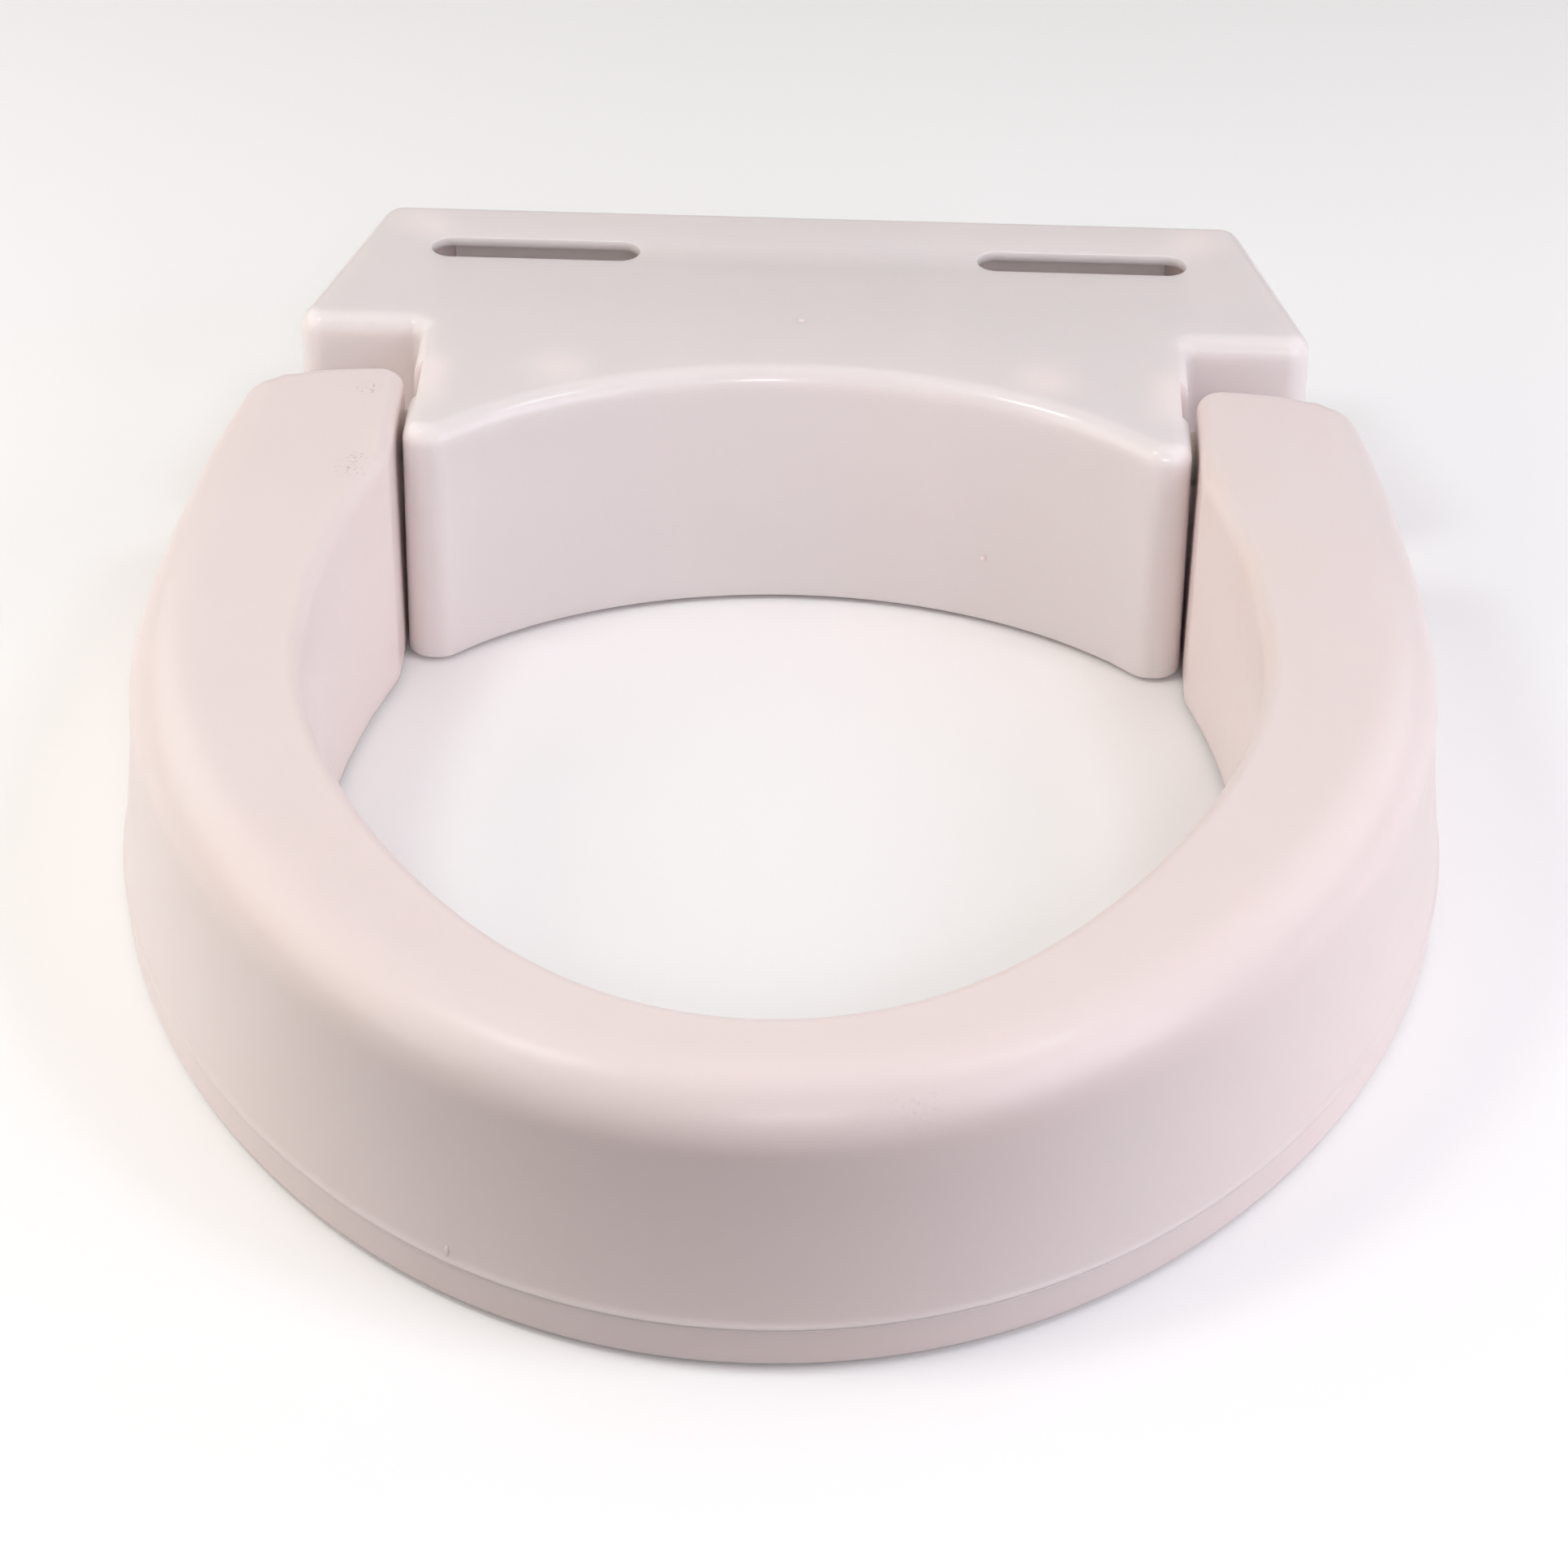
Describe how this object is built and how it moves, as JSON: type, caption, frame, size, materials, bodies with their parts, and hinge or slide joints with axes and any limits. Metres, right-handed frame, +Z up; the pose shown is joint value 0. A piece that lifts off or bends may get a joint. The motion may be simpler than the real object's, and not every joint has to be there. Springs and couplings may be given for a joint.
{
  "type": "raised toilet seat",
  "caption": "White plastic riser for a toilet: a hollow U-shaped ring that lifts on side hinges of a rear base with long bolt slots.",
  "frame": {"origin": "under the middle of the object's width and depth, in the plane that its rubber feet stand on", "axes": "+Z up, -Y towards the front of the ring, +Y towards the back edge of the base, +X to the right seen looking along +Y"},
  "size_m": [0.3572, 0.4372, 0.0768],
  "materials": {
    "ring_plastic": "matt moulded plastic, warm pinkish white",
    "base_plastic": "satin to semi-gloss moulded plastic, pinkish white",
    "nylon": "natural nylon, an assumed colour",
    "steel": "plain stainless steel, an assumed finish",
    "rubber": "grey rubber, an assumed colour"
  },
  "bodies": {
    "base": {"base_shell": "base_plastic", "hinge_bush_right": "nylon", "hinge_bush_left": "nylon", "hinge_spacer_right": "nylon", "hinge_spacer_left": "nylon", "base_foot_1": "rubber", "base_foot_2": "rubber", "base_foot_3": "rubber", "base_foot_4": "rubber"},
    "ring": {"seat_ring_shell": "ring_plastic", "seat_ring_tray": "ring_plastic", "hinge_pin_right": "steel", "hinge_pin_left": "steel", "pin_clip_right": "steel", "pin_clip_left": "steel", "ring_foot_1": "rubber", "ring_foot_2": "rubber", "ring_foot_3": "rubber", "ring_foot_4": "rubber", "tray_screw_1": "steel", "tray_screw_2": "steel", "tray_screw_3": "steel", "tray_screw_4": "steel", "tray_screw_5": "steel", "tray_screw_6": "steel", "tray_screw_7": "steel"}
  },
  "joints": [
    {"name": "ring_lift", "type": "hinge", "parent": "base", "child": "ring", "pos_m": [0, 0.1096, 0.0575], "axis": [-1, 0, 0], "range_deg": [0, 110]}
  ]
}
